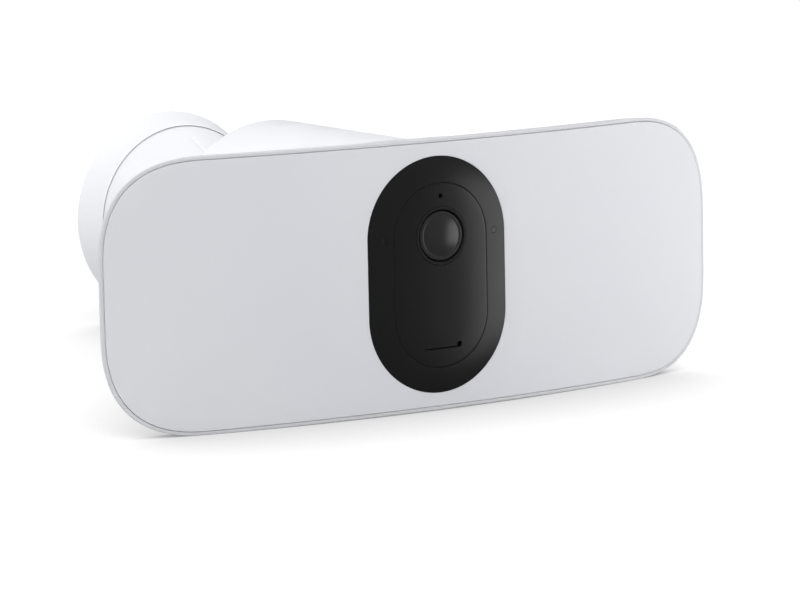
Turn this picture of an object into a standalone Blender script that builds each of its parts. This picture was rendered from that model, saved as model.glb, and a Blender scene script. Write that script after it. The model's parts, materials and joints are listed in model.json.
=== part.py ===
"""Floodlight security camera: a bowed light panel with a camera in its middle, on a barrel with a ball joint.

Metres, +Z up. The origin is the centre of the wall plate's back face, +Y points into the wall and the front
faces -Y. The barrel's axis is the Y axis.
"""

import math

import bmesh
import bpy
from mathutils import Matrix, Vector

GAP = 0.0003  # clearance between neighbours

# Light panel. Its front surface is bowed in plan, and depths in the head are measured back from that surface.
PANEL_Y = -0.231
PANEL_Z = -0.0024
PANEL_HALF_WIDTH = 0.1455
PANEL_HALF_HEIGHT = 0.0556
CORNER_RADIUS = 0.0438
CORNER_EXPONENT = 2.5946
BOW_RADIUS = 0.6228
STATION_STEP = 0.016
OUTLINE_STEPS = 15  # points on a quarter of the panel's edge
SHELL_WALL = 0.0014
SIDE_WALL = 0.0016
SHOULDER_DEPTH = 0.0075
SHELL_HOLLOW = 0.0013  # how far the shell's back dips in between its rim and its neck
DIFFUSER_THICKNESS = 0.0015
LED_HALF_SIZE = 0.0014
LED_COLUMNS, LED_ROWS = 6, 4
LED_SPACING = (0.0115, 0.0215)

# Camera face: a domed obround, the fascia round it and the face plate inside.
FASCIA_HALF_WIDTH = 0.0328
FASCIA_HALF_HEIGHT = 0.0486
FACE_SHARE = 0.677  # of the fascia's half width, at the seam
BULGE = 0.003
FACE_THICKNESS = 0.002
LENS_Z = PANEL_Z + 0.0162
LENS_RING_RADIUS = 0.0120
LENS_RADIUS = 0.0100
SENSOR_HOLE_Z = PANEL_Z + 0.0325
SENSOR_HOLE_RADIUS = 0.001
INFRARED_X = 0.0266
INFRARED_RADIUS = 0.0016
SLOT_Z = PANEL_Z - 0.0289
SLOT_HALF_WIDTH = 0.009
SLOT_HALF_HEIGHT = 0.00125

# Barrel housing
BARREL_RADIUS = 0.0503
BARREL_WALL = 0.0024
BARREL_FRONT = PANEL_Y + 0.032
BARREL_BACK = -0.0942
BARREL_FLOOR = 0.003
CORE_RADIUS = 0.0415  # the head's core, which slides in the barrel
CORE_WALL = 0.002
CORE_BACK = -0.108

# Ball joint
BALL_Y = -0.061
BALL_RADIUS = 0.017
LINER_INNER = 0.0175
LINER_OUTER = 0.0181
CAVITY_RADIUS = 0.0186
COLLAR_LIP_ANGLE = math.radians(63.5)  # from straight ahead
LINER_EDGE_ANGLE = math.radians(97)
STEM_RADIUS = 0.0065
COLLAR_RADIUS = 0.024
SOCKET_RADIUS = 0.0212

# Wall mount
BASE_BACK_RADIUS = 0.047
BASE_FRONT_RADIUS = 0.0419
BASE_BACK = -0.0007
BASE_FRONT = -0.0157
BASE_WALL = 0.0024
CAP_RADIUS = 0.0413
CAP_NOSE_RADIUS = 0.0244
CAP_NOSE = -0.053
CAP_WALL = 0.0022
PLATE_RADIUS = 0.040
PLATE_THICKNESS = 0.003
SOCKET_SCREWS = 3
SOCKET_SCREW_CIRCLE = 0.020

# Buttons and the charging inlet
RELEASE_Y = BARREL_FRONT + 0.014
RELEASE_RADIUS = 0.0065
RELEASE_FLANGE_RADIUS = 0.008
SYNC_X = 0.090
SYNC_RADIUS = 0.004
INLET_Y = -0.117
INLET_SIZE = (0.0134, 0.0084)
COVER_SIZE = (0.0164, 0.0116, 0.001)


def clear_scene():
    for item in list(bpy.context.scene.objects):
        bpy.data.objects.remove(item, do_unlink=True)


def new_collection(name):
    group = bpy.data.collections.new(name)
    bpy.context.scene.collection.children.link(group)
    return group


def finish_of(name, colour, roughness, metallic=0.0):
    """A Principled material under the node's own name."""
    material = bpy.data.materials.new(name)
    material.use_nodes = True
    shader = material.node_tree.nodes["Principled BSDF"]
    shader.inputs["Base Color"].default_value = (*colour, 1)
    shader.inputs["Roughness"].default_value = roughness
    shader.inputs["Metallic"].default_value = metallic
    return material


FINISHES = {
    "white": ((0.86, 0.86, 0.88), 0.45, 0.0),
    "diffuser": ((0.68, 0.68, 0.73), 0.5, 0.0),
    "black_gloss": ((0.015, 0.015, 0.016), 0.18, 0.0),
    "black": ((0.03, 0.03, 0.03), 0.5, 0.0),
    "glass": ((0.05, 0.05, 0.06), 0.05, 0.0),
    "board": ((0.03, 0.16, 0.07), 0.4, 0.0),
    "metal": ((0.62, 0.62, 0.64), 0.3, 1.0),
    "brass": ((0.78, 0.6, 0.3), 0.3, 1.0),
    "rubber": ((0.06, 0.06, 0.06), 0.75, 0.0),
    "clear": ((0.85, 0.87, 0.9), 0.1, 0.0),
}


def add_part(name, mesh, finish):
    part = bpy.data.objects.new(name, mesh)
    PARTS.objects.link(part)
    mesh.materials.append(finish_of(name, *FINISHES[finish]))
    mesh.shade_smooth()
    mesh.set_sharp_from_angle(angle=math.radians(35))
    return part


def mesh_from(bm, name):
    mesh = bpy.data.meshes.new(name)
    bm.to_mesh(mesh)
    bm.free()
    return mesh


def bow(x):
    """How far the panel's front surface lies behind its middle, at this place along its width."""
    return x * x / (2 * BOW_RADIUS)


def rounded_outline(half_width, half_height, radius, exponent=2.0, steps=12, centre_z=0.0):
    """Points round a rectangle with superelliptic corners, a circle where all sizes and the radius agree."""
    points = []
    for quarter in range(4):
        right = 1 if quarter in (0, 3) else -1
        upper = 1 if quarter < 2 else -1
        for step in range(steps + 1):
            turn = math.pi / 2 * step / steps
            if quarter % 2:
                turn = math.pi / 2 - turn
            across = half_width - radius + radius * abs(math.cos(turn)) ** (2 / exponent)
            along = half_height - radius + radius * abs(math.sin(turn)) ** (2 / exponent)
            point = (right * across, centre_z + upper * along)
            if not points or math.dist(point, points[-1]) > 1e-6:
                points.append(point)
    if math.dist(points[0], points[-1]) < 1e-6:
        points.pop()
    return points


def spread_outline(half_width, half_height, radius, exponent, centre_z=0.0):
    """The same outline with its points spread over the straight stretches too, and closer on the corners."""
    fine_steps = 48
    turn_weight = 0.055
    corner = []
    for step in range(fine_steps + 1):
        turn = math.pi / 2 * step / fine_steps
        across = half_width - radius + radius * abs(math.cos(turn)) ** (2 / exponent)
        corner.append((across, half_height - radius + radius * math.sin(turn) ** (2 / exponent)))
    path = [(half_width, 0.0), *corner, (0.0, half_height)]
    measure = [0.0]
    for i in range(1, len(path)):
        on_corner = 1 < i < len(path) - 1
        weight = 1 + on_corner * turn_weight / radius
        measure.append(measure[-1] + math.dist(path[i - 1], path[i]) * weight)
    quarter = []
    place = 1
    for step in range(OUTLINE_STEPS):
        target = measure[-1] * step / OUTLINE_STEPS
        while measure[place] <= target:
            place += 1
        share = (target - measure[place - 1]) / (measure[place] - measure[place - 1])
        (x0, z0), (x1, z1) = path[place - 1], path[place]
        quarter.append((x0 + (x1 - x0) * share, z0 + (z1 - z0) * share))
    upper = [*quarter, (0.0, half_height), *[(-x, z) for x, z in reversed(quarter)]]
    lower = [(-x, -z) for x, z in upper[1:-1]]
    return [(x, z + centre_z) for x, z in upper + lower]


def obround(half_width, half_height, centre_z=0.0, steps=8):
    return rounded_outline(half_width, half_height, half_width, steps=steps, centre_z=centre_z)


def moved(points, x=0.0, z=0.0):
    return [(px + x, pz + z) for px, pz in points]


def circle(radius, x=0.0, z=0.0, steps=6):
    return moved(rounded_outline(radius, radius, radius, steps=steps), x, z)


def plate(name, loops, front, thickness, finish, bent=True):
    """A plate facing -Y: the first loop is its edge, the others are holes. front is its depth in the head."""
    curve = bpy.data.curves.new(name, "CURVE")
    curve.dimensions = "2D"
    curve.fill_mode = "BOTH"
    curve.extrude = thickness / 2
    for loop in loops:
        spline = curve.splines.new("POLY")
        spline.points.add(len(loop) - 1)
        for point, (x, z) in zip(spline.points, loop):
            point.co = (x, z, 0, 1)
        spline.use_cyclic_u = True
    outline = bpy.data.objects.new(name, curve)
    PARTS.objects.link(outline)
    graph = bpy.context.evaluated_depsgraph_get()
    flat = bpy.data.meshes.new_from_object(outline.evaluated_get(graph))
    bpy.data.objects.remove(outline, do_unlink=True)
    bm = bmesh.new()
    bm.from_mesh(flat)
    bmesh.ops.remove_doubles(bm, verts=bm.verts, dist=1e-6)
    middle = Matrix.Translation((0, PANEL_Y + front + thickness / 2, 0))
    bmesh.ops.transform(bm, matrix=middle @ Matrix.Rotation(math.pi / 2, 4, "X"), verts=bm.verts)
    if bent:
        bend(bm)
    bmesh.ops.recalc_face_normals(bm, faces=bm.faces)
    mesh = mesh_from(bm, name)
    return add_part(name, mesh, finish)


def bend(bm):
    """Slices the mesh along the panel's width, and sets each point back by the panel's bow."""
    reach = max(abs(vert.co.x) for vert in bm.verts)
    stations = int(reach / STATION_STEP)
    for station in range(-stations, stations + 1):
        bmesh.ops.bisect_plane(
            bm,
            geom=bm.verts[:] + bm.edges[:] + bm.faces[:],
            dist=1e-6,
            plane_co=(station * STATION_STEP, 0, 0),
            plane_no=(1, 0, 0),
        )
    for vert in bm.verts:
        vert.co.y += bow(vert.co.x)


def box(name, low, high, finish, bevel=0.0):
    size = [b - a for a, b in zip(low, high)]
    centre = [(a + b) / 2 for a, b in zip(low, high)]
    bm = bmesh.new()
    bmesh.ops.create_cube(bm, size=1, matrix=Matrix.Translation(centre) @ Matrix.Diagonal((*size, 1)))
    part = add_part(name, mesh_from(bm, name), finish)
    if bevel:
        edges = part.modifiers.new("rounded edges", "BEVEL")
        edges.width = bevel
        edges.segments = 2
    return part


def turned(name, profile, finish, at=(0, 0), upright=False, steps=28, ring=False):
    """A turned piece. The profile's (radius, place) points run from its back or top, down the outer side.

    Its axis runs along Y at the given (x, z), or along Z at the given (x, y) where it is upright. A ring's
    profile closes on itself, and any other starts and ends on the axis.
    """
    mesh = bpy.data.meshes.new(name)
    count = len(profile)
    edges = [(i, (i + 1) % count) for i in range(count if ring else count - 1)]
    mesh.from_pydata([(radius, 0, place) for radius, place in profile], edges, [])
    part = add_part(name, mesh, finish)
    if upright:
        part.location = (at[0], at[1], 0)
    else:
        part.location = (at[0], 0, at[1])
        part.rotation_euler.x = -math.pi / 2
    screw = part.modifiers.new("turn", "SCREW")
    screw.steps = steps
    screw.render_steps = steps
    screw.use_merge_vertices = True
    screw.merge_threshold = 0.00001
    screw.use_smooth_shade = True
    return part


def arc(radius, start, end, steps, centre=BALL_Y):
    """Profile points on a ball's surface, between two angles from straight ahead."""
    angles = [start + (end - start) * step / steps for step in range(steps + 1)]
    return [(radius * math.sin(angle), centre - radius * math.cos(angle)) for angle in angles]


def as_cutter(tool):
    tool.hide_render = True
    tool.display_type = "WIRE"
    PARTS.objects.unlink(tool)
    CUTTERS.objects.link(tool)
    return tool


def combine(part, tool, operation="DIFFERENCE"):
    change = part.modifiers.new(tool.name, "BOOLEAN")
    change.operation = operation
    change.object = tool


def rod_cutter(name, radius, start, end, at=(0, 0), upright=False, steps=20):
    """A round cutter whose ends are start and end, with start the further back or the higher."""
    profile = [(0, start), (radius, start), (radius, end), (0, end)]
    return as_cutter(turned(name, profile, "black", at, upright, steps))


def disc(name, radius, back, front, finish, at=(0, 0), upright=False, steps=24, edge=0.0):
    """A round solid with its edges eased at the front."""
    profile = [(0, back), (radius, back), (radius, front + edge), (radius - edge, front), (0, front)]
    if not edge:
        del profile[2]
    return turned(name, profile, finish, at, upright, steps)


# Head: the shell, the light and its optics


def shell_section(share, depth):
    """A section of the rear shell, at a share of the way from its rim to its round neck."""
    rim = 1 - share
    half_width = BARREL_RADIUS + (PANEL_HALF_WIDTH - BARREL_RADIUS) * rim**0.62
    half_height = BARREL_RADIUS + (PANEL_HALF_HEIGHT - BARREL_RADIUS) * rim
    half_height -= SHELL_HOLLOW * math.sin(math.pi * share)
    radius = min(BARREL_RADIUS * share + CORNER_RADIUS * rim, half_height)
    exponent = 2 + (CORNER_EXPONENT - 2) * rim
    outline = spread_outline(half_width, half_height, radius, exponent, PANEL_Z * rim)
    return [(x, PANEL_Y + depth + rim * bow(x), z) for x, z in outline]


def rear_shell():
    neck_depth = BARREL_FRONT - GAP - PANEL_Y
    rings = [(0, GAP), (0, SIDE_WALL), (0.014, SIDE_WALL + 0.0014), (0.06, SHOULDER_DEPTH)]
    for share in (0.18, 0.38, 0.6, 0.82, 1):
        rings.append((share, SHOULDER_DEPTH + (neck_depth - SHOULDER_DEPTH) * share**1.2))
    bm = bmesh.new()
    loops = []
    for share, depth in rings:
        loops.append([bm.verts.new(point) for point in shell_section(share, depth)])
    for near, far in zip(loops, loops[1:]):
        for i in range(len(near)):
            j = (i + 1) % len(near)
            bm.faces.new((near[i], near[j], far[j], far[i]))
    bmesh.ops.recalc_face_normals(bm, faces=bm.faces)
    first = bm.faces[:][0]
    if first.normal.dot(first.calc_center_median() - Vector((0, PANEL_Y, 0))) < 0:
        bmesh.ops.reverse_faces(bm, faces=bm.faces[:])
    shell = add_part("rear_shell", mesh_from(bm, "rear_shell"), "white")
    wall = shell.modifiers.new("wall", "SOLIDIFY")
    wall.thickness = SHELL_WALL
    wall.offset = -1
    at = (SYNC_X, PANEL_Z)
    button_hole = rod_cutter("sync_hole", SYNC_RADIUS + GAP, PANEL_Y + 0.05, PANEL_Y + 0.01, at)
    combine(shell, button_hole)
    return shell


def panel_outline(inset):
    """The diffuser's outline, this far inside the shell's edge."""
    half_width = PANEL_HALF_WIDTH - inset
    half_height = PANEL_HALF_HEIGHT - inset
    return spread_outline(half_width, half_height, CORNER_RADIUS - inset, CORNER_EXPONENT, PANEL_Z)


def build_light():
    face_hole = obround(FASCIA_HALF_WIDTH + GAP, FASCIA_HALF_HEIGHT + GAP, PANEL_Z)
    plate("light_diffuser", [panel_outline(SHELL_WALL + GAP), face_hole], 0, DIFFUSER_THICKNESS, "diffuser")
    seal_front = DIFFUSER_THICKNESS + GAP
    seal_loops = []
    for inset in (0.0032, 0.0058):
        size = (PANEL_HALF_WIDTH - inset, PANEL_HALF_HEIGHT - inset, CORNER_RADIUS - inset)
        seal_loops.append(rounded_outline(*size, CORNER_EXPONENT, steps=7, centre_z=PANEL_Z))
    plate("diffuser_seal", seal_loops, seal_front, 0.0007, "rubber")
    for side, word in ((-1, "left"), (1, "right")):
        spreader = moved(rounded_outline(0.0455, 0.0470, 0.012, steps=4), side * 0.0830, PANEL_Z)
        plate(f"light_spreader_{word}", [spreader], 0.0028, 0.0018, "clear")
        board = moved(rounded_outline(0.0340, 0.0420, 0.004, steps=2), side * 0.0725, PANEL_Z)
        strip = plate(f"led_board_{word}", [board], 0.0075, 0.0012, "white")
        for column in range(LED_COLUMNS):
            for row in range(LED_ROWS):
                x = side * (0.0725 + (column - (LED_COLUMNS - 1) / 2) * LED_SPACING[0])
                z = PANEL_Z + (row - (LED_ROWS - 1) / 2) * LED_SPACING[1]
                front = PANEL_Y + bow(x) + 0.0066
                name = f"led_{word}_{column}_{row}"
                low_corner = (x - LED_HALF_SIZE, front, z - LED_HALF_SIZE)
                high_corner = (x + LED_HALF_SIZE, front + LED_HALF_SIZE, z + LED_HALF_SIZE)
                combine(strip, as_cutter(box(name, low_corner, high_corner, "white")), "UNION")


# Head: the camera


def dome_height(share, slope):
    """How far the camera face stands proud, at a share of the way from its middle line to its edge."""
    return BULGE * (1 - share ** (3 + slope))


def domed_plate(name, outer, inner, finish):
    """Part of the camera's domed face, between two shares of its half width. An inner share of 0 closes."""
    rings = 4
    innermost = inner or 0.12
    bm = bmesh.new()
    loops = []
    straight = FASCIA_HALF_HEIGHT - FASCIA_HALF_WIDTH
    for ring in range(rings + 1):
        share = outer + (innermost - outer) * ring / rings
        half_width = FASCIA_HALF_WIDTH * share
        loop = []
        for x, z in obround(half_width, straight + half_width):
            slope = max(0.0, (abs(z) - straight) / half_width) ** 2
            loop.append(bm.verts.new((x, PANEL_Y + bow(x) - dome_height(share, slope), z + PANEL_Z)))
        loops.append(loop)
    for near, far in zip(loops, loops[1:]):
        for i in range(len(near)):
            j = (i + 1) % len(near)
            bm.faces.new((near[i], near[j], far[j], far[i]))
    if not inner:
        bm.faces.new(loops[-1])
    bmesh.ops.recalc_face_normals(bm, faces=bm.faces)
    if bm.faces[:][0].normal.y > 0:
        bmesh.ops.reverse_faces(bm, faces=bm.faces[:])
    part = add_part(name, mesh_from(bm, name), finish)
    depth = part.modifiers.new("thickness", "SOLIDIFY")
    depth.thickness = FACE_THICKNESS
    depth.offset = -1
    return part


def face_y(x, share=0.0):
    """The camera face's front surface at this place across it."""
    return PANEL_Y + bow(x) - dome_height(share, 0.0)


def build_camera():
    seam = GAP / FASCIA_HALF_WIDTH
    fascia = domed_plate("camera_fascia", 1, FACE_SHARE + seam / 2, "black_gloss")
    face = domed_plate("camera_face_plate", FACE_SHARE - seam / 2, 0, "black_gloss")
    middle = face_y(0)
    back, ahead = PANEL_Y + 0.02, PANEL_Y - 0.02
    combine(face, rod_cutter("lens_hole", LENS_RING_RADIUS + GAP, back, ahead, (0, LENS_Z), steps=36))
    hole = rod_cutter("sensor_hole", SENSOR_HOLE_RADIUS + GAP, back, ahead, (0, SENSOR_HOLE_Z), steps=12)
    combine(face, hole)
    slot = obround(SLOT_HALF_HEIGHT + GAP, SLOT_HALF_WIDTH + GAP, steps=4)
    slot = [(z, x + SLOT_Z) for x, z in slot]
    combine(face, as_cutter(plate("slot_hole", [slot], -0.01, 0.03, "black", bent=False)))
    window = (SENSOR_HOLE_RADIUS, middle + 0.0026, middle + 0.0008)
    disc("light_sensor_window", *window, "glass", (0, SENSOR_HOLE_Z), steps=12)
    insert = [(z, x + SLOT_Z) for x, z in obround(SLOT_HALF_HEIGHT, SLOT_HALF_WIDTH, steps=4)]
    plate("motion_window", [insert], middle + 0.0011 - PANEL_Y, 0.0014, "glass", bent=False)

    ring_front = middle - 0.0003
    chamfer = 0.0009
    profile = [
        (LENS_RING_RADIUS, ring_front + 0.0055),
        (LENS_RING_RADIUS, ring_front + 0.0004),
        (LENS_RING_RADIUS - 0.0004, ring_front),
        (LENS_RADIUS + GAP + chamfer, ring_front),
        (LENS_RADIUS + GAP, ring_front + chamfer),
        (LENS_RADIUS + GAP, ring_front + 0.0055),
    ]
    turned("lens_ring", profile, "black", (0, LENS_Z), ring=True, steps=36)
    glass_edge = middle + 0.0006
    crown = 0.0018
    dome = [
        (LENS_RADIUS * math.sin(turn), glass_edge + 0.0002 - crown * math.cos(turn))
        for turn in [math.pi / 2 * (1 - step / 4) for step in range(5)]
    ]
    profile = [(0, glass_edge + 0.0026), (LENS_RADIUS, glass_edge + 0.0026), *dome]
    profile[-1] = (0, profile[-1][1])
    turned("lens_window", profile, "glass", (0, LENS_Z), steps=36)
    barrel_front = glass_edge + 0.0029
    profile = [(0, barrel_front + 0.012), (0.0075, barrel_front + 0.012), (0.0075, barrel_front + 0.004)]
    profile += [(0.0085, barrel_front + 0.004), (0.0085, barrel_front), (0.005, barrel_front)]
    profile += [(0.0042, barrel_front + 0.0015), (0, barrel_front + 0.0022)]
    turned("lens_barrel", profile, "black", (0, LENS_Z), steps=20)
    board_front = barrel_front + 0.012 + GAP - PANEL_Y
    image_board = moved(rounded_outline(0.013, 0.013, 0.002, steps=2), z=LENS_Z)
    plate("image_sensor_board", [image_board], board_front, 0.0014, "board", bent=False)

    for side, word in ((-1, "left"), (1, "right")):
        x = side * INFRARED_X
        front = face_y(x, INFRARED_X / FASCIA_HALF_WIDTH)
        at = (x, LENS_Z)
        combine(fascia, rod_cutter(f"infrared_hole_{word}", INFRARED_RADIUS + GAP, back, ahead, at, steps=16))
        window = (INFRARED_RADIUS, front + 0.0019, front + 0.0003)
        disc(f"infrared_window_{word}", *window, "glass", at, steps=16)
    infrared_board = moved(rounded_outline(0.0300, 0.0118, 0.002, steps=2), z=LENS_Z)
    lens_gap = circle(0.0090, z=LENS_Z, steps=8)
    board = plate("infrared_led_board", [infrared_board, lens_gap], 0.0052, 0.0012, "board", bent=False)
    for side, word in ((-1, "left"), (1, "right")):
        name = f"infrared_led_{word}"
        at = (side * INFRARED_X, LENS_Z)
        led = disc(name, LED_HALF_SIZE, PANEL_Y + 0.0056, PANEL_Y + 0.0028, "clear", at, steps=12)
        combine(board, as_cutter(led), "UNION")

    sensor_front = middle + 0.0011 + 0.0014 + GAP
    can = (0.0046, sensor_front + 0.0046, sensor_front)
    disc("motion_sensor", *can, "metal", (0, SLOT_Z), steps=20, edge=0.0004)
    frame_edge = obround(0.0310, 0.0455, PANEL_Z)
    frame_hole = circle(0.0092, z=LENS_Z, steps=8)
    plate("mid_frame", [frame_edge, frame_hole], 0.0086, 0.0016, "black", bent=False)
    main_board = moved(rounded_outline(0.0285, 0.0400, 0.003, steps=2), z=PANEL_Z)
    plate("main_board", [main_board], board_front + 0.0020, 0.0016, "board", bent=False)
    antenna_edge = moved(rounded_outline(0.0240, 0.0025, 0.0006, steps=1), z=PANEL_Z + 0.0475)
    plate("antenna", [antenna_edge], 0.0110, 0.0008, "brass", bent=False)
    speaker_front = PANEL_Y + board_front + 0.0020 + 0.0016 + GAP
    disc("speaker", 0.0140, speaker_front + 0.0042, speaker_front, "black", (0, PANEL_Z - 0.022), edge=0.001)


# Head: the core that slides into the barrel, and the battery


def build_core():
    flange_front = BARREL_FRONT - 0.0050
    flange_back = flange_front + 0.0028
    flange_radius = BARREL_RADIUS - SHELL_WALL - 2 * GAP
    profile = [
        (CORE_RADIUS, CORE_BACK),
        (CORE_RADIUS, flange_back),
        (flange_radius, flange_back),
        (flange_radius, flange_front),
        (0, flange_front),
    ]
    inside = CORE_RADIUS - CORE_WALL
    profile = [(0, flange_back), (inside, flange_back), (inside, CORE_BACK), *profile]
    turned("head_core", profile, "white", steps=40)
    seal_front = BARREL_FRONT + 0.0012
    seal = [
        (BARREL_RADIUS - BARREL_WALL - GAP, seal_front + 0.0030),
        (BARREL_RADIUS - BARREL_WALL - GAP, seal_front),
        (CORE_RADIUS + GAP, seal_front),
        (CORE_RADIUS + GAP, seal_front + 0.0030),
    ]
    turned("housing_seal_ring", seal, "rubber", ring=True, steps=36)
    disc("siren", 0.0160, flange_back + 0.0088, flange_back + GAP, "black", steps=28, edge=0.001)
    contact_front = flange_back + 0.0091
    box("battery_contacts", (-0.009, contact_front, -0.004), (0.009, contact_front + 0.0024, 0.004), "brass")
    pack_front = contact_front + 0.0024 + GAP
    box("battery_pack", (-0.026, pack_front, -0.026), (0.026, CORE_BACK - 0.003, 0.026), "black", bevel=0.004)


def build_sync_button():
    back = PANEL_Y + bow(SYNC_X) + 0.0168
    profile = [
        (0, back),
        (SYNC_RADIUS - 0.0004, back),
        (SYNC_RADIUS, back - 0.0004),
        (SYNC_RADIUS, back - 0.0036),
        (SYNC_RADIUS + 0.0012, back - 0.0036),
        (SYNC_RADIUS + 0.0012, back - 0.0046),
        (0, back - 0.0046),
    ]
    turned("sync_button", profile, "white", (SYNC_X, PANEL_Z), steps=24)


# Barrel


def build_barrel():
    easing = 0.001
    bore = STEM_RADIUS - 0.0015 + GAP
    inside = BARREL_RADIUS - BARREL_WALL
    profile = [
        (bore, BARREL_BACK + 0.0042),
        (0.0125, BARREL_BACK + 0.0042),
        (0.0135, BARREL_BACK + 0.0032),
        (0.0165, BARREL_BACK),
        (BARREL_RADIUS - easing, BARREL_BACK),
        (BARREL_RADIUS - easing * 0.3, BARREL_BACK - easing * 0.3),
        (BARREL_RADIUS, BARREL_BACK - easing),
        (BARREL_RADIUS, BARREL_FRONT),
        (inside, BARREL_FRONT),
        (inside, BARREL_BACK - BARREL_FLOOR),
        (bore, BARREL_BACK - BARREL_FLOOR),
    ]
    housing = turned("barrel_housing", profile, "white", ring=True, steps=48)
    low = -BARREL_RADIUS - 0.003
    high = low + 0.012
    at = (0, RELEASE_Y)
    combine(housing, rod_cutter("release_hole", RELEASE_RADIUS + GAP, high, low, at, upright=True))
    half_x, half_y = INLET_SIZE[0] / 2 + GAP, INLET_SIZE[1] / 2 + GAP
    hole_corners = (-half_x, INLET_Y - half_y, low), (half_x, INLET_Y + half_y, high)
    combine(housing, as_cutter(box("inlet_hole", *hole_corners, "black")))

    stem = [
        (0, BALL_Y + 0.0015),
        (STEM_RADIUS, BALL_Y + 0.0015),
        (STEM_RADIUS, BARREL_BACK + 0.0042 + GAP),
        (STEM_RADIUS - 0.0015, BARREL_BACK + 0.0042 + GAP),
        (STEM_RADIUS - 0.0015, BARREL_BACK - 0.0100),
        (0, BARREL_BACK - 0.0100),
    ]
    turned("stem", stem, "metal", steps=20)
    nut_back = BARREL_BACK - BARREL_FLOOR - GAP
    nut_front = nut_back - 0.0045
    nut = disc("stem_nut", 0.010, nut_back, nut_front, "metal", steps=6)
    combine(nut, rod_cutter("nut_bore", bore, nut_back + 0.001, nut_front - 0.001))


def build_release():
    """The release button in the barrel's underside, its spring, and the bracket that the spring pushes on."""
    inner_wall = -(BARREL_RADIUS - BARREL_WALL)
    flange_low = inner_wall + 0.0010
    flange_high = flange_low + 0.0008
    low = -BARREL_RADIUS - 0.0004
    profile = [
        (0, flange_high),
        (RELEASE_FLANGE_RADIUS, flange_high),
        (RELEASE_FLANGE_RADIUS, flange_low),
        (RELEASE_RADIUS, flange_low),
        (RELEASE_RADIUS, low + 0.0005),
        (RELEASE_RADIUS - 0.0005, low),
        (0, low),
    ]
    turned("release_button", profile, "white", (0, RELEASE_Y), upright=True, steps=28)
    bracket_low = inner_wall + 0.0045
    half_x, half_y, leg = 0.0105, 0.0050, 0.0012
    top = (half_x, RELEASE_Y + half_y, bracket_low + 0.0008)
    bracket = box("release_bracket", (-half_x, RELEASE_Y - half_y, bracket_low), top, "metal")
    for side, word in ((-1, "left"), (1, "right")):
        inner, outer = side * (half_x - leg), side * half_x
        low_corner = (min(inner, outer), RELEASE_Y - half_y, inner_wall + 0.0015)
        high_corner = (max(inner, outer), RELEASE_Y + half_y, bracket_low + 0.0004)
        combine(bracket, as_cutter(box(f"bracket_leg_{word}", low_corner, high_corner, "metal")), "UNION")

    wire = 0.0002
    radius, turns, per_turn = 0.0035, 3, 12
    spring_low, spring_high = flange_high + wire + GAP, bracket_low - wire - GAP
    curve = bpy.data.curves.new("release_spring", "CURVE")
    curve.dimensions = "3D"
    curve.bevel_depth = wire
    curve.bevel_resolution = 0
    curve.use_fill_caps = True
    spline = curve.splines.new("POLY")
    spline.points.add(turns * per_turn)
    for i, point in enumerate(spline.points):
        turn = 2 * math.pi * i / per_turn
        height = spring_low + (spring_high - spring_low) * i / (turns * per_turn)
        point.co = (radius * math.cos(turn), RELEASE_Y + radius * math.sin(turn), height, 1)
    spring = bpy.data.objects.new("release_spring", curve)
    PARTS.objects.link(spring)
    curve.materials.append(finish_of("release_spring", *FINISHES["metal"]))


def build_inlet():
    """The charging inlet in the barrel's underside, its contact tongue and its hinged cover."""
    half_x, half_y = INLET_SIZE[0] / 2, INLET_SIZE[1] / 2
    low = -BARREL_RADIUS + 0.0008
    high = low + 0.0060
    inlet = box("charge_inlet", (-half_x, INLET_Y - half_y, low), (half_x, INLET_Y + half_y, high), "black")
    recess_low = (-0.0045, INLET_Y - 0.0019, low - 0.001)
    recess_high = (0.0045, INLET_Y + 0.0019, high - 0.0012)
    combine(inlet, as_cutter(box("inlet_recess", recess_low, recess_high, "black")))
    tongue_low = (-0.0032, INLET_Y - 0.0005, low + 0.0008)
    box("charge_contact", tongue_low, (0.0032, INLET_Y + 0.0005, high - 0.0012 - GAP), "brass")
    cover_x, cover_y, cover_z = COVER_SIZE
    top = -BARREL_RADIUS - GAP
    low_corner = (-cover_x / 2, INLET_Y - cover_y / 2, top - cover_z)
    cover = box("inlet_cover", low_corner, (cover_x / 2, INLET_Y + cover_y / 2, top), "rubber")
    edges = cover.modifiers.new("rounded edges", "BEVEL")
    edges.width = 0.0004
    edges.segments = 1


# Ball joint


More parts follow.
